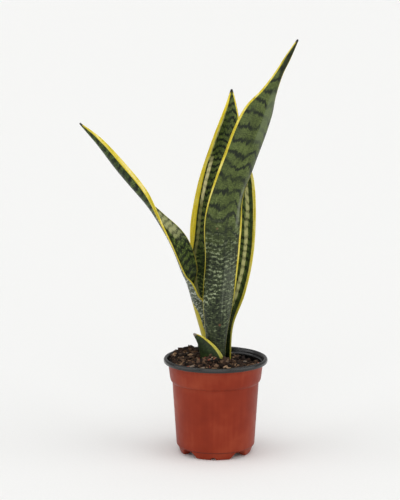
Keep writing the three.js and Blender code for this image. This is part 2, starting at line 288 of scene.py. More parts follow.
# %% Pressing the feet
FOOT_COUNT = 4
POT_TURN = -4
FOOT_INNER = (31.8, 29.0)
FOOT_OUTER = (38.2, 40.9)
FOOT_HALF_ANGLE = (28.6, 37.0)
FOOT_HEIGHT = 7.6
FOOT_GROOVE = 2.6
FOOT_RADIUS = 35
SIDE_ROUNDING = 0.9
GROOVE_ROUNDING = 0.3
FLOOR_ROUNDING = 0.8
FEET_RING = (24, 41.5)
FEET_TOP = 8.5


def soft_max(a, b, width):
    """The larger of two numbers, with a rounded change from one to the other."""
    return (a + b + math.sqrt((a - b) ** 2 + width**2)) / 2


def foot_depth(radius, angle):
    """Height in mm of the sheet's middle where a foot is pressed, at radius and degrees."""
    half = SHEET / 2
    step = 360 / FOOT_COUNT
    aside = (angle + 90 - POT_TURN + step / 2) % step - step / 2
    walls = []
    for (low, high), value, sign in (
        (FOOT_INNER, radius, -1),
        (FOOT_OUTER, radius, 1),
        (FOOT_HALF_ANGLE, abs(aside), 1),
    ):
        inset = math.degrees(half / FOOT_RADIUS) if value == abs(aside) else half
        walls.append((value - low + sign * inset) / (high - low) * FOOT_HEIGHT)
    height = half
    for wall in walls:
        height = soft_max(height, wall, SIDE_ROUNDING)
    across = FOOT_RADIUS * math.radians(aside)
    arch = FOOT_GROOVE + half
    if abs(across) < arch:
        height = soft_max(height, math.sqrt(arch**2 - across**2), GROOVE_ROUNDING)
    return height


for vertex in pot.data.vertices:
    place = (vertex.co - AXIS) / MM
    radius = math.hypot(place.x, place.y)
    if FEET_RING[0] < radius < FEET_RING[1] and place.z < FEET_TOP:
        depth = foot_depth(radius, math.degrees(math.atan2(place.y, place.x)))
        vertex.co.z = -soft_max(-place.z, -depth, FLOOR_ROUNDING) * MM
lowest = min(vertex.co.z for vertex in pot.data.vertices)
print("lowest point of the sheet's middle", round(lowest / MM, 2), "mm")

# %% [markdown]
# Solidify gives the sheet its millimetre, half to each side. The inside gets a
# material slot of its own, because this sheet is red-brown outside and black
# inside: the rim is rolled outwards, so the black side shows there. The two
# slots have to be there first, still empty. Drain holes are cut last, with one
# cutter for all five.

# %% Thickness and drain holes
DRAIN = 7.0
DRAIN_RADIUS = 33.4
SHARP = 38  # degrees between two faces, past which their edge stays sharp

pot.data.materials.append(None)
pot.data.materials.append(None)
apply_modifier(
    pot, "SOLIDIFY", thickness=SHEET * MM, offset=0, use_even_offset=True,
    material_offset=1, material_offset_rim=1,
)

hole_places = [AXIS]
for k in range(FOOT_COUNT):
    angle = math.radians(POT_TURN + 45 + 90 * k)
    hole_places.append(AXIS + Vector((math.cos(angle), math.sin(angle), 0)) * DRAIN_RADIUS * MM)
punches = []
for place in hole_places:
    bpy.ops.mesh.primitive_cylinder_add(
        vertices=48, radius=DRAIN / 2 * MM, depth=FLOOR_Z * MM,
        location=place + Vector((0, 0, (FLOOR_Z + 1) * MM)),
    )
    punches.append(bpy.context.object)
select_only(*punches)
bpy.ops.object.join()
punch = bpy.context.object
apply_modifier(pot, "BOOLEAN", operation="DIFFERENCE", object=punch, solver="EXACT")
bpy.data.objects.remove(punch)
select_only(pot)
bpy.ops.object.shade_smooth_by_angle(angle=math.radians(SHARP))
print("pot:", len(pot.data.polygons), "faces")

# %% [markdown]
# ## Polystyrene
# High-impact polystyrene, drawn in a mould, has a soft satin sheen that gets
# paler towards its sides. Drawing stretches the sheet, which leaves very faint
# upright streaks. Its colour is even, so the material only varies a little: a
# slow mottle, the streaks, dust near the ground, a painted shade in the crease
# above the feet, and fine scuffs that are a bit duller. The mould's orange-peel
# texture is finer than a pixel, so it is drawn three times as coarse as the real one.

# %% Polystyrene materials
MOTTLE = 45
STREAK = (3.8, 3.8, 170)
DUST = 1.1
DUST_REACH = 30
# A painted shade darkens the crease above the feet: its height, width and colour.
CREASE_Z = 8.5
CREASE_WIDTH = 0.9
CREASE_SHADE = "4A150A"
SCUFF = 6.3
PEEL = 1.4
PEEL_DEPTH = 0.15


def polystyrene(name, shade, deep, light, dust, crease_shade, rough, gloss):
    material, tree, shader = new_material(name)
    place = put(tree, "TexCoord").outputs["Object"]
    centred = put(tree, "VectorMath", {0: place, 1: -AXIS}, operation="ADD")
    slow = {"Vector": centred, "Scale": per(MOTTLE), "Detail": 3, "Roughness": 0.6}
    mottle = put(tree, "TexNoise", slow)
    stretch = Vector([per(size) for size in STREAK])
    upright = put(tree, "VectorMath", {0: centred, 1: stretch}, operation="MULTIPLY")
    streaks = put(tree, "TexNoise", {"Vector": upright, "Scale": 1, "Detail": 2})
    mixed = put(tree, "Math", {0: streaks, 1: 0.3, 2: mottle}, operation="MULTIPLY_ADD")
    tone = put(tree, "ValToRGB", {0: mixed})
    fill_ramp(tone, [(0.42, deep), (0.65, shade), (0.9, light)])
    height = put(tree, "SeparateXYZ", {0: centred}).outputs["Z"]
    low = put(tree, "MapRange", {0: height, 1: DUST_REACH * MM, 2: 0.0, 3: 0.0, 4: dust})
    specks = put(tree, "TexNoise", {"Vector": centred, "Scale": per(DUST), "Detail": 2})
    powder = put(tree, "Math", {0: low, 1: specks}, operation="MULTIPLY")
    dusty = put(tree, "Mix", {0: powder, 6: tone, 7: linear(light)}, data_type="RGBA")
    # Painted shade: the sheet is darkened along the crease above the feet.
    away = put(tree, "Math", {0: height, 1: CREASE_Z * MM}, operation="SUBTRACT")
    away = put(tree, "Math", {0: away}, operation="ABSOLUTE")
    crease = put(tree, "MapRange", {0: away, 1: CREASE_WIDTH * MM, 2: 0.0, 3: 0.0, 4: crease_shade})
    colour = put(tree, "Mix", {0: crease, 6: dusty, 7: linear(CREASE_SHADE)}, data_type="RGBA")
    fine = {"Vector": centred, "Scale": per(SCUFF), "Detail": 4, "Roughness": 0.65}
    scuffs = put(tree, "TexNoise", fine)
    dull = put(tree, "MapRange", {0: scuffs, 1: 0.35, 2: 0.75, 3: rough - 0.06, 4: rough + 0.1})
    peel = put(tree, "TexNoise", {"Vector": centred, "Scale": per(PEEL), "Detail": 2})
    bump = put(tree, "Bump", {"Strength": 0.12, "Distance": PEEL_DEPTH * MM, "Height": peel})
    feed(tree, shader, {"Base Color": colour, "Roughness": dull, "Normal": bump})
    feed(tree, shader, {"IOR": 1.59, "Specular IOR Level": gloss})
    feed(tree, shader, {"Sheen Weight": 0.1, "Sheen Roughness": 0.3, "Sheen Tint": linear(light)})
    return material


# The red sheet gets dust 0.2 and painted crease shade 0.85; the black one gets neither.
pot.data.materials[0] = polystyrene(
    "red-brown polystyrene", "832A12", "78230C", "933C22", 0.2, 0.85, 0.42, 0.14
)
pot.data.materials[1] = polystyrene(
    "black polystyrene", "080908", "040504", "141615", 0.0, 0.0, 0.24, 0.45
)
hand_over(pot, "pot", "pot")

# %% [markdown]
# ## The potting mix
# The real fill is a loose mix of peat, composted bark and fibre, and heaped a
# little round the plant. A plug is spun in the shape of the pot's inside, and
# its top is then heaved by the same formula as the solid's, with a relief of
# crumbs on it. Loose crumbs come on top once the leaves are there, because a
# displaced surface alone has no overhangs and casts no crisp shadows.

# %% The plug of soil
SOIL_TOP = 99.6
SOIL_SIDE = 99  # the side ends here, and the top begins
SOIL_RIM = 80  # above this the side goes down where the top does
SOIL_EDGE = 50.4
RELIEF_FADES = 3  # mm from the edge
SOIL_RINGS = [SOIL_EDGE - 0.75 * k for k in range(67)]
SOIL_STEPS = 220
CRUMB_CELLS = ((6.0, 1.5), (3.2, 0.9), (1.7, 0.4))  # width and depth
CLODS = [
    (0, 0, 3.6, 24), (-27, 30, 6.4, 12), (-38, 14, 5.6, 11), (-12, 38, 5.6, 10),
    (-38, -12, 3.4, 11), (-26, -31, 1.0, 8), (-4, -20, 9.6, 10), (-17, -18, 4.4, 8),
    (11, -16, 4.4, 8), (21, -26, 2.6, 7), (5, -38, -1.6, 7), (32, -18, 1.6, 8), (22, 6, 3.0, 9),
    (40, 28, -6.0, 15), (42, -4, -2.0, 10), (-14, -41, -1.2, 8),
]


def soil_height(x, y):
    """Height of the top of the soil in mm, from the pot's axis."""
    z = SOIL_TOP - 0.035 * x
    for cx, cy, height, radius in CLODS:
        z += height * math.exp(-((x - cx) ** 2 + (y - cy) ** 2) / radius**2)
    return z + 0.5 * math.sin(0.62 * x + 1.3) * math.sin(0.55 * y + 0.4)


def crumb_relief(x, y):
    """Crumbs as cells, 2 to 6 mm across, with creases between them, in mm."""
    relief = 0
    for size, depth in CRUMB_CELLS:
        near, second = noise.voronoi(Vector((x / size, y / size, size)))[0][:2]
        relief += depth * (min(1, 2.2 * (second - near)) - 0.6)
    return relief


soil_line = [(0, 10.3), (13, 10.3), (17.9, 8.3), (40, 8.3), (41.4, 10), (45.9, 78.6)]
soil_line += [(48.5, 84.6), (50.0, 96.5), (50.2, 97.6), (SOIL_EDGE, 98.4)]
soil_line += [(radius, SOIL_TOP) for radius in SOIL_RINGS] + [(0, SOIL_TOP)]
soil = draw_profile("potting_mix", soil_line)
spin(soil, SOIL_STEPS)
face_outwards(soil)
for vertex in soil.data.vertices:
    place = (vertex.co - AXIS) / MM
    top = soil_height(place.x, place.y)
    if place.z > SOIL_SIDE:
        edge = min(1, (SOIL_EDGE - math.hypot(place.x, place.y)) / RELIEF_FADES)
        vertex.co.z = (top + edge * crumb_relief(place.x, place.y)) * MM
    elif place.z > SOIL_RIM:
        vertex.co.z = min(place.z, top - 0.5 * (SOIL_SIDE - place.z)) * MM
select_only(soil)
bpy.ops.object.shade_smooth()
print("soil plug:", len(soil.data.polygons), "faces")

# %% [markdown]
# ## The leaves
# A snake plant's leaf is a stiff, fleshy blade that is rolled into a channel,
# thick in the middle and thin at its edges, and it turns as it rises. A flat
# grid is the start. Each of its points is moved to the right place on the
# channel, which follows rows of given sizes along the leaf. Solidify
# then gives each point its own thickness through a vertex group, and one level
# of subdivision rounds the edges.
# Each row is x, y, z of the middle of the outer face, width along the curve,
# roll (the way the outer face looks, 0 to the front), curl of the channel, and
# thickness. The margins are [along, left, right]: how wide the yellow is in mm.

# %% The leaves' sizes
EDGE = 0.8

LEAVES = {
    "leaf_front": {
        "rows": [
            (0, -8, 66, 22, 0, 150, 3.8),
            (0, -9.5, 105, 27, 0, 140, 3.6),
            (0.8, -10.5, 129, 29, 2, 132, 3.4),
            (3.2, -12, 170, 41, 3, 125, 3.0),
            (7.4, -12, 214, 44, 4, 120, 2.8),
            (9.4, -12, 252, 49.5, 8, 120, 2.6),
            (16.6, -12, 285, 47, 24, 122, 2.4),
            (31.5, -11, 322, 51, 34, 120, 2.2),
            (43, -8.5, 352, 51, 36, 116, 2.0),
            (51.5, -4, 374, 43, 36, 110, 1.9),
            (58.5, 1, 393, 22.5, 30, 100, 1.8),
            (67.5, 6, 413, 10.5, 20, 90, 1.6),
            (76.7, 9, 430, 7.2, 10, 90, 1.5),
            (87.4, 12, 449.5, 1.6, 0, 90, 1.3),
        ],
        "margins": [
            (0, 0.8, 0.8), (90, 1.3, 1.2), (130, 1.8, 4), (190, 2.1, 5), (250, 3.2, 3.2),
            (330, 2.6, 2), (370, 1.6, 0.8), (400, 1, 0.2),
        ],
    },
    "leaf_left": {
        "rows": [
            (-7, 4, 66, 20, -45, 110, 3.6),
            (-6, 5.5, 105, 24, -42, 92, 3.4),
            (-8.5, 7.5, 129, 28, -40, 76, 3.2),
            (-16.5, 11, 150, 29, -49, 90, 3.0),
            (-25.1, 11.1, 169, 33, -74, 88, 2.9),
            (-29.3, 8.5, 183, 41.5, -89, 94, 2.8),
            (-33.4, 7.3, 198, 40, -108, 110, 2.7),
            (-44.0, -1.5, 230.3, 34, -118.5, 113, 2.6),
            (-62.2, -6, 258, 26.5, -95, 105, 2.4),
            (-81.8, -9, 286, 24.5, -64, 105, 2.2),
            (-104.6, -9, 314, 23, -60, 105, 2.0),
            (-126, -6, 341.5, 13.5, -55, 105, 1.8),
            (-145.3, -3, 361.7, 1.6, -50, 105, 1.4),
        ],
        "margins": [
            (0, 11, 2), (60, 12.5, 2), (73, 12.6, 2), (84, 14.4, 2), (92, 15.2, 2), (102, 14.2, 1.8),
            (110, 7, 1.8), (118, 1.2, 1.8), (150, 0.4, 1.9), (172, 0.4, 2.2), (206, 0.5, 3.2),
            (240, 0.4, 4.4), (276, 0.3, 4.4), (311, 0.2, 3.2), (330, 0.1, 1.4), (345, 0, 0.4),
        ],
    },
    "leaf_back_left": {
        "rows": [
            (1, 19.5, 66, 18, 176, 125, 3.6),
            (0.5, 23, 105, 22, 176, 125, 3.4),
            (-3, 33, 145, 31, 176, 115, 3.0),
            (-7, 39.5, 180, 40, 174, 112, 2.9),
            (-9, 39, 212, 40, 172, 110, 2.8),
            (-9.5, 35, 245, 40, 172, 108, 2.6),
            (-3, 28, 290, 37, 174, 105, 2.4),
            (7, 24, 330, 32, 178, 100, 2.2),
            (14.7, 21, 362, 23.5, 180, 95, 1.9),
            (16.5, 20, 380, 12.5, 180, 90, 1.7),
            (17, 20, 396, 1.6, 180, 90, 1.4),
        ],
        "margins": [
            (0, 1, 0.5), (120, 2, 0.8), (150, 2.2, 1.2), (168, 2.2, 6), (180, 2.1, 7), (200, 2, 6.5),
            (250, 1.6, 4.5), (320, 1.2, 3), (334, 0.6, 0.6),
        ],
    },
    "leaf_back_right": {
        "rows": [
            (11, 8.5, 66, 18, 160, 125, 3.6),
            (10.5, 9.5, 105, 19.5, 160, 122, 3.3),
            (11.6, 10, 141, 22.5, 164, 115, 3.0),
            (19.8, 13, 178, 34, 168, 112, 2.8),
            (26.3, 18, 215, 37, 170, 110, 2.8),
            (29, 20, 250, 35, 174, 105, 2.6),
            (30, 20, 285, 30, 178, 105, 2.3),
            (29, 19, 308, 22, 180, 100, 2.0),
            (27, 17, 330, 1.6, 180, 90, 1.4),
        ],
        "margins": [(0, 1.5, 1), (60, 2, 2), (110, 3.6, 3), (220, 4, 3), (268, 2, 1.5)],
    },
    "leaf_short": {
        "rows": [
            (-3, -13, 67, 24, -16, 135, 3.2),
            (-4, -15, 92, 31, -20, 135, 3.0),
            (-6, -17, 103, 33, -22, 130, 2.8),
            (-10.5, -17, 115, 26.5, -28, 120, 2.4),
            (-16.8, -15, 126.5, 14, -33, 110, 2.0),
            (-24.2, -12, 134.5, 1.6, -35, 100, 1.3),
        ],
        "margins": [(0, 0.5, 4), (36, 0.6, 4.8), (55, 0.5, 3), (70, 0.3, 1)],
    },
}
print(len(LEAVES), "leaves")

# %% [markdown]
# Between its rows a leaf follows smooth cubic curves. The channel is an arc of
# a circle: the width is measured along the arc, and the curl is the angle that
# the arc takes up.

# %% Points on a leaf


def smooth(knots, values, t):
    """A value on the cubic through values at knots."""
    last = len(knots) - 1
    i = 0
    while i < last - 1 and t >= knots[i + 1]:
        i += 1

    def slope(k):
        a, b = max(k - 1, 0), min(k + 1, last)
        return (values[b] - values[a]) / (knots[b] - knots[a])

    h = knots[i + 1] - knots[i]
    s = (t - knots[i]) / h
    return (
        (2 * s**3 - 3 * s**2 + 1) * values[i]
        + (s**3 - 2 * s**2 + s) * h * slope(i)
        + (3 * s**2 - 2 * s**3) * values[i + 1]
        + (s**3 - s**2) * h * slope(i + 1)
    )


def lengths(rows):
    """How far along the leaf each row is, in mm."""
    knots = [0]
    for a, b in zip(rows, rows[1:]):
        knots.append(knots[-1] + (Vector(b[:3]) - Vector(a[:3])).length)
    return knots


def leaf_station(rows, knots, t):
    """The row at t, with the directions out of the leaf and across it."""
    whole = knots[-1]
    columns = list(zip(*rows))
    row = [smooth(knots, column, t) for column in columns]
    ends = [
        Vector([smooth(knots, column, at) for column in columns[:3]])
        for at in (max(t - 0.5, 0), min(t + 0.5, whole))
    ]
    along = (ends[1] - ends[0]).normalized()
    roll = math.radians(row[4])
    out = Vector((math.sin(roll), -math.cos(roll), 0))
    out = (out - along * out.dot(along)).normalized()
    return row, out, along.cross(out)


def leaf_point(station, u):
    """The middle of the blade at u, from -1 to 1 across it, in mm from the axis."""
    row, out, side = station
    bend = math.radians(row[5])
    radius = row[3] / bend
    phi = u * bend / 2
    place = Vector(row[:3]) + side * radius * math.sin(phi)
    return place + out * (radius * math.cos(phi) - radius)


def straight(points, t, column):
    """A value between the points of a table, joined by straight lines."""
    for a, b in zip(points, points[1:]):
        if t <= b[0]:
            s = (t - a[0]) / (b[0] - a[0])
            return a[column] + (b[column] - a[column]) * s
    return points[-1][column]


# %% [markdown]
# The grid keeps two sets of texture coordinates. "skin" measures the leaf in
# units of 100 mm, across from its midrib and along from its base, so that a
# pattern can be given in real sizes. "margin" measures how far a point is
# inside the green from the left and the right yellow margin.

# %% Building a leaf
ACROSS = 22
GRID_STEP = 2.6
UNIT = 100


def build_leaf(name, rows, margins):
    knots = lengths(rows)
    whole = knots[-1]
    steps = round(whole / GRID_STEP)
    bpy.ops.mesh.primitive_grid_add(x_subdivisions=ACROSS, y_subdivisions=steps, size=2)
    leaf = bpy.context.object
    leaf.name = name + "_blade"
    leaf.data.uv_layers[0].name = "skin"
    leaf.data.uv_layers.new(name="margin")
    thickest = max(row[6] for row in rows)
    group = leaf.vertex_groups.new(name="thickness")
    stations = {}
    measures = []
    for vertex in leaf.data.vertices:
        u = vertex.co.x
        share = round((vertex.co.y + 1) / 2, 6)
        t = share * whole
        if share not in stations:
            stations[share] = leaf_station(rows, knots, t)
        row = stations[share][0]
        width = row[3]
        wanted = EDGE + (row[6] - EDGE) * (1 - u * u)
        group.add([vertex.index], wanted / thickest, "REPLACE")
        left = (1 + u) * width / 2 - straight(margins, t, 1)
        right = (1 - u) * width / 2 - straight(margins, t, 2)
        measures.append((u * width / 2, t, left, right))
        vertex.co = AXIS + leaf_point(stations[share], u) * MM
    for loop in leaf.data.loops:
        across, t, left, right = measures[loop.vertex_index]
        leaf.data.uv_layers["skin"].data[loop.index].uv = (across / UNIT, t / UNIT)
        leaf.data.uv_layers["margin"].data[loop.index].uv = (left / UNIT, right / UNIT)
    middle = leaf.data.polygons[len(leaf.data.polygons) // 2 + ACROSS // 2]
    share = min(stations, key=lambda s: abs(s - 0.5))
    if middle.normal.dot(stations[share][1]) < 0:
        edit(leaf)
        bpy.ops.mesh.flip_normals()
        leave_edit()
    leaf.data.materials.append(None)
    leaf.data.materials.append(None)
    apply_modifier(
        leaf, "SOLIDIFY", thickness=thickest * MM, offset=0, vertex_group="thickness",
        material_offset=1, material_offset_rim=0,
    )
    apply_modifier(leaf, "SUBSURF", levels=1, render_levels=1)
    leaf.vertex_groups.clear()
    select_only(leaf)
    bpy.ops.object.shade_smooth()
    return leaf


leaves = {name: build_leaf(name, made["rows"], made["margins"]) for name, made in LEAVES.items()}
print({name: len(leaf.data.polygons) for name, leaf in leaves.items()})

# %% [markdown]
# ## Leaf skin
# The skin is dark green with nearly black, jagged crossbands, and a yellow
# margin. Near the base the bands become fine, broken, silvery lines on a dark
# ground. It is waxy, so it has a soft, broad gloss. The pattern could be a
# picture, but then it would be the same on each leaf. Here it is one recipe:
# the distance along the leaf is pushed up and down by noises of different
# sizes (broad chevrons, jags, and fine combs that run along the leaf), and a
# wave of that distance makes the bands. All sizes are in mm on the leaf.

# %% The recipe for a leaf's skin
SKIN = {
    # Five tones each for the upper and the lower part, and where they change.
    "high": ("0F140C", "1F2617", "434E26", "5F6C38", "8A9160"),
    "low": ("0C110B", "1A2015", "3A432A", "667052", "9CA482"),
    "low_reach": (138, 212),
    # Dark crossbands: spacing, share, strength, the peak that they rise to (its
    # place across the leaf, half width and height), how torn they are, and how
    # much the tones wander.
    "band": 14.5,
    "band_share": 0.3,
    "band_dark": 0.42,
    "peak": (6, 11, 6),
    "ragged": 1.3,
    "mottle": 1.0,
    "fine_light": 0.46,  # the strength of the pale lines of the lower part
    # Margins: three yellows, and the olive that they have up to a place along
    # the leaf.
    "yellow": ("A9971C", "D2BF38", "E2D986"),
    "margin_low": ("8B8823", 70, 150),
    # Stripes along the leaf (some are painted sheen), how far the bands cut them, and single spots.
    "stripes_and_sheens": [],
    "cut": 0.0,
    "spots": [],
    "tip": (4, "1A1C14"),
    "shift": 0,
}
NOISES = {
    # How big the patches of each noise are across and along the leaf, in mm.
    "chevron": (17, 60), "jag": (5, 16), "comb": (1.4, 22), "cloud": (14, 18),
    "patch": (5, 4), "dash": (3.4, 1.3), "speckle": (0.9, 1.1), "strand": (1.2, 50),
}
print(len(NOISES), "noises and", len(SKIN), "values in the recipe")

# %% [markdown]
# The recipe starts with fields: numbers that differ from place to place, such
# as how far along the leaf a point is, and the noises. A distance that is
# pushed by noises makes a line wander, and the sine of a distance makes lines
# at even spacings. MapRange turns either into a soft mask from 0 to 1.

# %% Fields and lines on a leaf
SMOOTH = {"interpolation_type": "SMOOTHSTEP"}
LINE_EDGE = 0.4


def leaf_fields(tree, shift):
    """Where a point is on its leaf, in mm, and the noises there."""
    skin = put(tree, "UVMap", uv_map="skin")
    margin = put(tree, "UVMap", uv_map="margin")
    place = put(tree, "VectorMath", {0: skin, "Scale": UNIT}, operation="SCALE")
    inside = put(tree, "VectorMath", {0: margin, "Scale": UNIT}, operation="SCALE")
    across, along, _ = put(tree, "SeparateXYZ", {0: place}).outputs
    left, right, _ = put(tree, "SeparateXYZ", {0: inside}).outputs
    fields = {"place": place, "middle": across, "along": along, "left": left, "right": right}
    for k, (kind, (wide, long)) in enumerate(NOISES.items()):
        moved = {0: place, 1: (1 / wide, 1 / long, 1), 2: (shift + 3.1 * k, 1.7 * k + shift, k)}
        spot = put(tree, "VectorMath", moved, operation="MULTIPLY_ADD")
        fields[kind] = put(tree, "TexNoise", {"Vector": spot, "Scale": 1, "Detail": 2.5})
    return fields


def pushed(tree, fields, start, *pushes):
    """start plus each noise, counted from its middle, times its reach."""
    for kind, reach in pushes:
        push = put(tree, "Math", {0: fields[kind], 1: reach, 2: -reach / 2}, operation="MULTIPLY_ADD")
        start = put(tree, "Math", {0: start, 1: push}, operation="ADD")
    return start


def torn_lines(tree, fields, distance, spacing, share, ragged):
    """Lines across the leaf: 1 on a share of each spacing, 0 between, with torn edges."""
    turns = put(tree, "Math", {0: distance, 1: math.tau / spacing}, operation="MULTIPLY")
    sine = put(tree, "Math", {0: turns}, operation="SINE")
    torn = pushed(tree, fields, sine, ("dash", ragged), ("strand", ragged), ("speckle", ragged))
    level = math.cos(math.pi * share)
    return put(tree, "MapRange", {0: torn, 1: level - LINE_EDGE, 2: level + LINE_EDGE}, **SMOOTH)


# %% [markdown]
# The ground is a tone, a number from 0, almost black, to 1, silvery, which a
# ramp turns into a colour. The upper part of a leaf has dark bands on plain
# green, which rise to a peak beside the midrib. The lower part has broken
# pale lines, which lean upwards to the right of it.

# %% The green ground
RAMP_PLACES = (0, 0.25, 0.5, 0.72, 1)
HIGH_TONE = 0.55
LOW_TONE = 0.34
MOTTLES = (("cloud", 0.4), ("dash", 0.6), ("speckle", 0.35), ("strand", 0.4))
BAND_PUSHES = (("chevron", 24), ("jag", 8), ("comb", 9))
LINE_PUSHES = (("chevron", 9), ("jag", 7), ("comb", 5))
LINE_SPACING = 5
LINE_SHARE = 0.42
LINE_RAGGED = 1.1
LINES_BEGIN = (40, 120)
LEAN = (20, -10)


def leaf_lines(tree, fields, look):
    """Masks of the dark bands and of the pale lines."""
    centre, half, height = look["peak"]
    beside = put(tree, "Math", {0: fields["middle"], 1: centre}, operation="SUBTRACT")
    beside = put(tree, "Math", {0: beside}, operation="ABSOLUTE")
    peak = put(tree, "MapRange", {0: beside, 1: 0, 2: half, 3: height, 4: 0}, **SMOOTH)
    lifted = put(tree, "Math", {0: fields["along"], 1: peak}, operation="SUBTRACT")
    lifted = pushed(tree, fields, lifted, *BAND_PUSHES)
    bands = torn_lines(tree, fields, lifted, look["band"], look["band_share"], look["ragged"])
    width, drop = LEAN
    leaning = put(tree, "MapRange", {0: fields["middle"], 1: 0, 2: width, 3: 0, 4: drop})
    leaned = put(tree, "Math", {0: fields["along"], 1: leaning}, operation="ADD")
    leaned = pushed(tree, fields, leaned, *LINE_PUSHES)
    lines = torn_lines(tree, fields, leaned, LINE_SPACING, LINE_SHARE, LINE_RAGGED)
    return bands, lines


def leaf_ground(tree, fields, look, bands, lines):
    """The colour of the green parts."""
    wandering = pushed(tree, fields, fields["along"], ("patch", 30))
    start, full = look["low_reach"]
    upper = put(tree, "MapRange", {0: wandering, 1: start, 2: full}, **SMOOTH)
    start, full = LINES_BEGIN
    rise = put(tree, "MapRange", {0: fields["along"], 1: start, 2: full}, **SMOOTH)
    broken = put(tree, "MapRange", {0: fields["patch"], 1: 0.38, 2: 0.55, 3: 0.1}, **SMOOTH)
    uneven = put(tree, "MapRange", {0: fields["cloud"], 1: 0.38, 2: 0.58, 3: 0.45}, **SMOOTH)
    dark = put(tree, "Math", {0: bands, 1: uneven}, operation="MULTIPLY")
    high = put(tree, "Math", {0: dark, 1: -look["band_dark"], 2: HIGH_TONE}, operation="MULTIPLY_ADD")
    pale = lines
    for mask in (broken, uneven, rise):
        pale = put(tree, "Math", {0: pale, 1: mask}, operation="MULTIPLY")
    low = put(tree, "Math", {0: pale, 1: look["fine_light"], 2: LOW_TONE}, operation="MULTIPLY_ADD")
    low = pushed(tree, fields, low, ("patch", 0.5), ("dash", 0.4))
    mottle = [(kind, reach * look["mottle"]) for kind, reach in MOTTLES]
    ramps = []
    for tone, colours in ((low, look["low"]), (high, look["high"])):
        ramp = put(tree, "ValToRGB", {0: pushed(tree, fields, tone, *mottle)})
        fill_ramp(ramp, list(zip(RAMP_PLACES, colours)))
        ramps.append(ramp)
    return put(tree, "Mix", {0: upper, 6: ramps[0], 7: ramps[1]}, data_type="RGBA")


# %% [markdown]
# Stripes (some are painted sheen), the yellow margins, single blemishes and the
# dry tip are layers over the ground, each with a mask of its own. The margins
# are a little streaked along the leaf, and greener low down, where less light
# reaches them.

# %% Stripes, painted sheens, margins and marks


def stripe_and_sheen_layers(tree, fields, look, bands):
    """Stripes, some of them painted sheen, with soft, slightly wandering edges, which the bands can
    cut.
    """
    layers = []
    whole = put(tree, "Math", {0: bands, 1: -look["cut"], 2: 1}, operation="MULTIPLY_ADD")
    along = fields["along"]
    for side, centre, half, stripe, strength, (start, full, fade, end) in look["stripes_and_sheens"]:
        away = pushed(tree, fields, fields[side], ("jag", 1.6), ("strand", 1.2))
        away = put(tree, "Math", {0: away, 1: centre}, operation="SUBTRACT")
        away = put(tree, "Math", {0: away}, operation="ABSOLUTE")
        body = put(tree, "MapRange", {0: away, 1: half * 1.35, 2: half * 0.65}, **SMOOTH)
        comes = put(tree, "MapRange", {0: along, 1: start, 2: full, 4: strength}, **SMOOTH)
        goes = put(tree, "MapRange", {0: along, 1: fade, 2: end, 3: 1, 4: 0}, **SMOOTH)
        mask = body
        for part in (comes, goes, whole):
            mask = put(tree, "Math", {0: mask, 1: part}, operation="MULTIPLY")
        spread = pushed(tree, fields, mask, ("strand", 0.8), ("dash", 0.5), ("speckle", 0.3))
        torn = put(tree, "MapRange", {0: spread, 1: 0, 2: 0.5}, **SMOOTH)
        mask = put(tree, "Math", {0: mask, 1: torn}, operation="MULTIPLY")
        layers.append((mask, linear(stripe)))
    return layers


def margin_layers(tree, fields, look):
    """The yellow margins on the left and the right."""
    layers = []
    olive, start, full = look["margin_low"]
    green = put(tree, "MapRange", {0: fields["along"], 1: start, 2: full, 3: 0.75, 4: 0}, **SMOOTH)
    streak = pushed(tree, fields, 0.5, ("strand", 0.9), ("jag", 0.7), ("dash", 0.4))
    ramp = put(tree, "ValToRGB", {0: streak})
    fill_ramp(ramp, list(zip((0.3, 0.5, 0.72), look["yellow"])))
    yellow = put(tree, "Mix", {0: green, 6: ramp, 7: linear(olive)}, data_type="RGBA")
    for side in ("left", "right"):
        edge = pushed(tree, fields, fields[side], ("strand", 0.8), ("jag", 0.8))
        mask = put(tree, "MapRange", {0: edge, 1: 0.3, 2: -0.3}, **SMOOTH)
        layers.append((mask, yellow))
    return layers


def mark_layers(tree, fields, look, length):
    """Small blemishes, and the very tip, which dries to a dark spine."""
    layers = []
    for across, along, radius, stain in look["spots"]:
        centre = {0: fields["place"], 1: (across, along, 0)}
        away = put(tree, "VectorMath", centre, operation="DISTANCE")
        mask = put(tree, "MapRange", {0: away, 1: radius + 0.6, 2: radius - 0.6, 4: 0.7}, **SMOOTH)
        layers.append((mask, linear(stain)))
    reach, stain = look["tip"]
    start = length - reach
    dry = put(tree, "MapRange", {0: fields["along"], 1: start - 1.5, 2: start + 1.5}, **SMOOTH)
    return layers + [(dry, linear(stain))]


# %% [markdown]
# The steps come together in one material. A leaf's skin is waxy, so its gloss
# is soft and broad, and its relief is faint.

# %% A whole skin
GLOSS = (0.37, 0.5)
RELIEF = 0.12


def leaf_skin(name, length, changes):
    look = {**SKIN, **changes}
    material, tree, shader = new_material(name)
    fields = leaf_fields(tree, look["shift"])
    bands, lines = leaf_lines(tree, fields, look)
    colour = leaf_ground(tree, fields, look, bands, lines)
    layers = stripe_and_sheen_layers(tree, fields, look, bands) + margin_layers(tree, fields, look)
    for mask, top in layers + mark_layers(tree, fields, look, length):
        colour = put(tree, "Mix", {0: mask, 6: colour, 7: top}, data_type="RGBA")
    shine, dull = GLOSS
    gloss = put(tree, "MapRange", {0: fields["cloud"], 1: 0.3, 2: 0.7, 3: shine, 4: dull}, **SMOOTH)
    relief = pushed(tree, fields, lines, ("strand", 0.8), ("speckle", 0.5))
    bump = put(tree, "Bump", {"Strength": 0.25, "Distance": RELIEF * MM, "Height": relief})
    feed(tree, shader, {"Base Color": colour, "Roughness": gloss, "Normal": bump})
    feed(tree, shader, {"IOR": 1.45, "Specular IOR Level": 0.22})
    return material


# %% [markdown]
# Each leaf gets its own changes to the recipe. The leaves behind turn their
# inner face to the front: it has pale stripes beside the margin. A stripe is
# which side it is counted from, how far in it lies, half its width, its
# colour and strength, and where along the leaf it comes in and fades out.

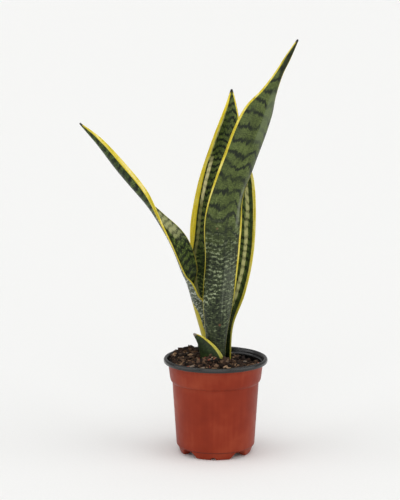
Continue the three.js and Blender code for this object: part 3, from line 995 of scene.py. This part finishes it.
# %% Skins of the five leaves
EVER = (2000, 2001)  # mm along, past any tip
PLAIN_GREEN = ("0E140A", "1D2812", "2B3B18", "394C20", "56683A")
LOOKS = {
    "leaf_front": (
        {
            "shift": 0.4,
            "stripes_and_sheens": [
                ("middle", 1.8, 1.4, "20261C", 0.55, (70, 90, 185, 215)),
                # The next three pale stripes are painted sheen and highlight, where the waxy skin
                # catches the light.
                ("middle", 9, 7, "7A806E", 0.35, (60, 110, 130, 180)),
                ("middle", 6, 6, "6E7A58", 0.5, (270, 290, 335, 350)),
                ("right", 6, 2.4, "8F9580", 0.4, (165, 200, 220, 255)),
                ("right", 1.5, 3.2, "12180F", 0.8, (342, 362, *EVER)),
            ],
            "spots": [(-7.5, 183, 0.9, "6E4230"), (2.5, 78, 1.2, "703A2A")],
        },
        {"shift": 5.2},
    ),
    "leaf_left": (
        {
            "high": ("0A0F08", "182112", "33431E", "52602F", "8E9572"),
            "low": ("161C14", "2C3427", "565E49", "8F9583", "C3C6BA"),
            "low_reach": (190, 235), "band": 9, "band_share": 0.4, "mottle": 1.4, "shift": 2.3,
            "yellow": ("AD9F22", "D8C43C", "EAD98C"), "margin_low": ("9A8F1A", 120, 200),
        },
        {
            "high": ("0A0F08", "1B2412", "3F4F25", "6A7A36", "A9AE66"),
            "low": ("090D07", "19220F", "425320", "61742E", "9DA356"),
            "low_reach": (30, 60), "band": 8.5, "shift": 7.7, "mottle": 2.0,
            "band_share": 0.4, "band_dark": 0.5, "cut": 0.55, "peak": (0, 8, 0), "ragged": 3.5,
            "stripes_and_sheens": [
                ("left", 7, 6, "A9AA78", 0.85, (165, 190, *EVER)),
                ("right", 3.0, 2.4, "7E8163", 0.65, (135, 165, *EVER)),
                ("right", 8.6, 3.0, "0C120A", 0.75, (80, 100, *EVER)),
            ],
        },
    ),
    "leaf_back_left": (
        {"shift": 9.1},
        {
            "high": ("0E140A", "202B16", "4B5A2B", "6C7A3A", "9EA268"),
            "low": ("0C120A", "1E2814", "425229", "67763A", "989C62"),
            "low_reach": (110, 190), "band": 7.5, "peak": (0, 9, 1), "shift": 1.9, "cut": 0.3,
            "band_share": 0.4, "band_dark": 0.5,
            # This yellow is painted brighter than the other leaves' yellow: painted light for an
            # inner face that gets less light.
            "yellow": ("E8CE30", "FFE53E", "FFF07C"),
            "stripes_and_sheens": [
                ("right", 1.0, 0.8, "2A3618", 0.8, (60, 80, 195, 215)),
                ("right", 4.0, 1.8, "97955A", 0.75, (70, 100, 205, 225)),
                ("right", 3.8, 2.0, "EEE6A8", 1.0, (200, 220, 245, 268)),
                ("right", 0.4, 1.0, "D6D488", 0.8, (245, 265, 300, 325)),
            ],
        },
    ),
    "leaf_back_right": (
        {"shift": 4.4},
        {
            "high": ("070C06", "1C2712", "465629", "67773A", "949A62"),
            "low": ("050905", "0E160A", "2A3B19", "4A5B28", "7A8450"),
            "low_reach": (60, 130), "band": 9, "shift": 3.3, "cut": 0.5, "band_share": 0.36,
            "ragged": 2.5,
            "yellow": ("B8A62A", "DAC848", "E8DE90"),
            "stripes_and_sheens": [
                ("left", 2.4, 2.0, "26331A", 0.7, (20, 60, *EVER)),
                ("left", 8.8, 2.3, "D3D08C", 0.9, (75, 115, 175, 205)),
                ("left", 7.2, 2.2, "C9C786", 0.8, (175, 205, *EVER)),
                ("left", -1.2, 0.35, "6F6F24", 0.7, (40, 60, *EVER)),
            ],
        },
    ),
    "leaf_short": (
        {
            "high": PLAIN_GREEN, "low": PLAIN_GREEN, "fine_light": 0.1, "band_dark": 0.12,
            "tip": (3.5, "7A7064"), "shift": 6.1, "margin_low": ("8E944C", 30, 80),
            "spots": [(1.5, 73, 1.4, "120F0B")],
        },
        {"high": PLAIN_GREEN, "tip": (3.5, "7A7064"), "shift": 8.2},
    ),
}
for name, leaf in leaves.items():
    length = lengths(LEAVES[name]["rows"])[-1]
    for slot, face in enumerate(("outer", "inner")):
        skin_name = f"snake plant skin, {name} {face}"
        leaf.data.materials[slot] = leaf_skin(skin_name, length, LOOKS[name][slot])
    hand_over(leaf, "leaf", name)

# %% [markdown]
# ## Scattering the crumbs
# The mix has brown peat lumps, nearly black ones, tan and grey bark, and a few
# reddish bits. A particle system could scatter them, but a loop can keep them
# clear of the leaves. A handful of lumps is made from icospheres whose vertices
# are pushed about. Each is copied many times, turned and stretched at random
# with a fixed seed, and bits of one colour become one piece. Some are piled up
# in small heaps, against the rim and in front of the leaves.

# %% Where the leaves stand in the soil


def leaf_outline(rows):
    """Points across a leaf where it leaves the soil, in mm from the axis."""
    knots = lengths(rows)
    low, high = 0, knots[-1]
    for _ in range(20):
        t = (low + high) / 2
        row = leaf_station(rows, knots, t)[0]
        low, high = (t, high) if row[2] < soil_height(row[0], row[1]) + 1 else (low, t)
    station = leaf_station(rows, knots, low)
    return [leaf_point(station, k / 6 - 1) for k in range(13)]


footprints = [point for made in LEAVES.values() for point in leaf_outline(made["rows"])]
print(len(footprints), "points that crumbs keep clear of")

# %% Shapes of crumbs
dice = random.Random(11)


def crumb_shape(detail, roughness):
    """A lump about 1 mm across, as a mesh."""
    bpy.ops.mesh.primitive_ico_sphere_add(subdivisions=detail, radius=0.5)
    lump = bpy.context.object
    start = Vector([dice.uniform(-50, 50) for _ in range(3)])
    for vertex in lump.data.vertices:
        push = noise.noise(vertex.co * 2.3 + start) + 0.5 * noise.noise(vertex.co * 5 + start)
        vertex.co *= 1 + roughness * push
    shape = lump.data
    bpy.data.objects.remove(lump)
    return shape


small_shapes = [crumb_shape(1, 0.9) for _ in range(6)]
large_shapes = [crumb_shape(2, 0.8) for _ in range(6)]
print("shapes of", [len(shape.polygons) for shape in small_shapes + large_shapes], "faces")

# %% Laying the crumbs
# A heap is x, y, radius and height in mm.
HEAPS = [(-43, 13, 10, 2.4), (-35, 28, 10, 1.2), (-6, -22, 7, 2.5)]
HEAP_SHARE = 0.18
HEAP_EDGE = 51.2
OPEN_SOIL = (0, 0, 49.5, 0)
OPEN_EDGE = 50
LEAF_CLEARANCE = 2.5


def lay_crumbs(name, count, smallest, largest, stretch, flat, shapes):
    """Copies of the shapes on the soil, joined as one piece."""
    copies = []
    while len(copies) < count:
        heap = dice.random() < HEAP_SHARE
        cx, cy, reach, rise = dice.choice(HEAPS) if heap else OPEN_SOIL
        angle = dice.uniform(0, math.tau)
        radius = math.sqrt(dice.random())
        x = cx + reach * radius * math.cos(angle)
        y = cy + reach * radius * math.sin(angle)
        size = smallest + (largest - smallest) * dice.random() ** 2
        if math.hypot(x, y) + size * stretch / 2 > (HEAP_EDGE if heap else OPEN_EDGE):
            continue
        place = Vector((x, y, soil_height(x, y) + dice.uniform(0, rise * (1 - radius**2))))
        room = min(math.hypot(x - p.x, y - p.y) for p in footprints)
        if room < LEAF_CLEARANCE + size * stretch / 2:
            continue
        lift = dice.uniform(-0.15, 0.35) * size * flat
        turn = Euler((dice.uniform(-0.5, 0.5), dice.uniform(-0.5, 0.5), dice.uniform(0, math.tau)))
        scale = Matrix.Diagonal((stretch, dice.uniform(0.7, 1.0), flat, 1))
        grown = Matrix.Translation(AXIS + (place + Vector((0, 0, lift))) * MM)
        grown = grown @ turn.to_matrix().to_4x4() @ scale @ Matrix.Scale(size * MM, 4)
        copy = bpy.data.objects.new(name, dice.choice(shapes).copy())
        copy.data.transform(grown)
        shade = copy.data.attributes.new("shade", "FLOAT", "POINT")
        shade.data.foreach_set("value", [dice.random()] * len(copy.data.vertices))
        bpy.context.scene.collection.objects.link(copy)
        copies.append(copy)
    select_only(*copies)
    bpy.ops.object.join()
    piece = bpy.context.object
    piece.name = name
    print(name, count, "bits")
    return piece


# Count, smallest and largest size in mm, stretch, flatness and shapes.
CRUMBS = {
    "peat_crumbs": (620, 1.6, 6.0, 1.15, 0.85, small_shapes),
    "dark_clods": (150, 3.5, 8.0, 1.2, 0.8, large_shapes),
    "tan_bark": (150, 1.5, 5.5, 1.4, 0.6, large_shapes),
    "grey_bark": (60, 2.0, 6.0, 1.5, 0.5, large_shapes),
    "red_bark": (24, 2.0, 4.2, 1.3, 0.6, large_shapes),
}
crumbs = {name: lay_crumbs(name, *sizes) for name, sizes in CRUMBS.items()}

# %% [markdown]
# ## The mix's colours
# Moist peat is a dark, warm brown, and bark is paler where it has dried. Each
# bit should have its own shade, so each was given a random number called
# "shade" when it was laid. The plug under them is one piece: there a cell
# texture gives one value to each cell of a few millimetres. A fine noise
# breaks both up.

# %% Potting mix materials
GRAIN = 0.65


def organic(name, stops, cell):
    material, tree, shader = new_material(name)
    place = put(tree, "TexCoord").outputs["Object"]
    if cell:
        cells = put(tree, "TexVoronoi", {"Vector": place, "Scale": per(cell)})
        bit = put(tree, "SeparateColor", {0: cells.outputs["Color"]})
    else:
        bit = put(tree, "Attribute", attribute_name="shade").outputs["Fac"]
    fine = {"Vector": place, "Scale": per(GRAIN), "Detail": 4, "Roughness": 0.7}
    grain = put(tree, "TexNoise", fine)
    mixed = put(tree, "Math", {0: grain, 1: 0.9, 2: bit}, operation="MULTIPLY_ADD")
    halved = put(tree, "Math", {0: mixed, 1: 0.53}, operation="MULTIPLY")
    ramp = put(tree, "ValToRGB", {0: halved})
    fill_ramp(ramp, stops)
    bump = put(tree, "Bump", {"Strength": 0.6, "Distance": GRAIN / 2 * MM, "Height": grain})
    feed(tree, shader, {"Base Color": ramp, "Normal": bump})
    feed(tree, shader, {"Roughness": 0.9, "Specular IOR Level": 0.3})
    return material


MIXES = {
    # The plug's near-black is moist peat's own dark brown and, in part, painted shade for the gaps
    # between the crumbs.
    "potting_mix": ("peat", [(0.2, "080402"), (0.5, "140B06"), (0.8, "2A1D14")], 4.0),
    "peat_crumbs": ("peat crumbs", [(0.2, "140B06"), (0.5, "3C291C"), (0.85, "7E634B")], None),
    "dark_clods": ("dark peat", [(0.2, "0B0603"), (0.5, "1D110A"), (0.85, "402D1F")], None),
    "tan_bark": ("tan bark", [(0.2, "533A27"), (0.5, "81654A"), (0.85, "B2977A")], None),
    "grey_bark": ("grey bark", [(0.2, "3E332B"), (0.5, "6B5C4E"), (0.85, "968778")], None),
    "red_bark": ("red bark", [(0.2, "5A281C"), (0.5, "8A4836"), (0.85, "B07660")], None),
}
for name, (material_name, stops, cell) in MIXES.items():
    piece = soil if name == "potting_mix" else crumbs[name]
    piece.data.materials.clear()
    piece.data.materials.append(organic(material_name, stops, cell))
    hand_over(piece, "soil", *(["soil"] if name == "potting_mix" else []))

# %% [markdown]
# ## The creeping stem
# The leaves grow from a short ochre stem with thick roots. It is buried, so
# its solid stays as it is and only gets a finish: smooth, waxy skin with dark
# rings where old scales were, and a little soil on it.

# %% Rhizome material
RING = 8.3
STAIN = 8.3
WAVE_LENGTH = math.tau / 20  # of a wave texture whose scale is 1

material, tree, shader = new_material("rhizome skin")
place = put(tree, "TexCoord").outputs["Object"]
waves = {"Vector": place, "Scale": per(RING) * WAVE_LENGTH, "Distortion": 3}
rings = put(tree, "TexWave", {**waves, "Detail": 2, "Detail Scale": 2}, bands_direction="Y")
stain = put(tree, "TexNoise", {"Vector": place, "Scale": per(STAIN), "Detail": 4, "Roughness": 0.65})
mixed = put(tree, "Math", {0: rings, 1: 0.35, 2: stain}, operation="MULTIPLY_ADD")
ramp = put(tree, "ValToRGB", {0: mixed})
fill_ramp(ramp, [(0.35, "5A3B1E"), (0.55, "A87B45"), (0.85, "D2AE74")])
feed(tree, shader, {"Base Color": ramp, "Roughness": 0.6})
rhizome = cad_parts["rhizome"]
rhizome.data.materials.clear()
rhizome.data.materials.append(material)
print("rhizome keeps its solid")

# %% [markdown]
# ## The room
# A floor of matt, pale paper runs far back, so that it fills the picture. A
# product photograph has large, soft lights all round. Four suns do the same,
# from the left, the right, the front and above: a sun that is 60 degrees wide
# casts only very soft shadows. A pale world fills in the rest.

# %% Floor and light
FIBRE = 2.5
WORLD_STRENGTH = 0.42

bpy.ops.mesh.primitive_plane_add(size=80, location=(0, 0, 0))
floor = bpy.context.object
floor.name = "floor"
material, tree, shader = new_material("pale paper")
place = put(tree, "TexCoord").outputs["Object"]
fibres = put(tree, "TexNoise", {"Vector": place, "Scale": per(FIBRE), "Detail": 3})
ramp = put(tree, "ValToRGB", {0: fibres})
fill_ramp(ramp, [(0.3, "F0F0EF"), (0.7, "F3F3F2")])
feed(tree, shader, {"Base Color": ramp, "Roughness": 0.9, "Specular IOR Level": 0.0})
floor.data.materials.append(material)

world = bpy.data.worlds.new("pale studio")
world.use_nodes = True
background = world.node_tree.nodes["Background"]
feed(world.node_tree, background, {"Color": linear("F6F6F5"), "Strength": WORLD_STRENGTH})
bpy.context.scene.world = world

SUNS = {
    "left_light": (-75, 25, 0.85),
    "right_light": (70, 25, 0.95),
    "front_light": (0, 15, 1.05),
    "top_light": (0, 90, 1.02),
}
SUN_WIDTH = 60
for name, (aside, up, strength) in SUNS.items():
    light_data = bpy.data.lights.new(name, "SUN")
    light_data.angle = math.radians(SUN_WIDTH)
    light_data.energy = strength
    light = bpy.data.objects.new(name, light_data)
    light.rotation_euler = (math.radians(90 - up), 0, math.radians(aside))
    bpy.context.scene.collection.objects.link(light)
print(len(SUNS), "wide suns")
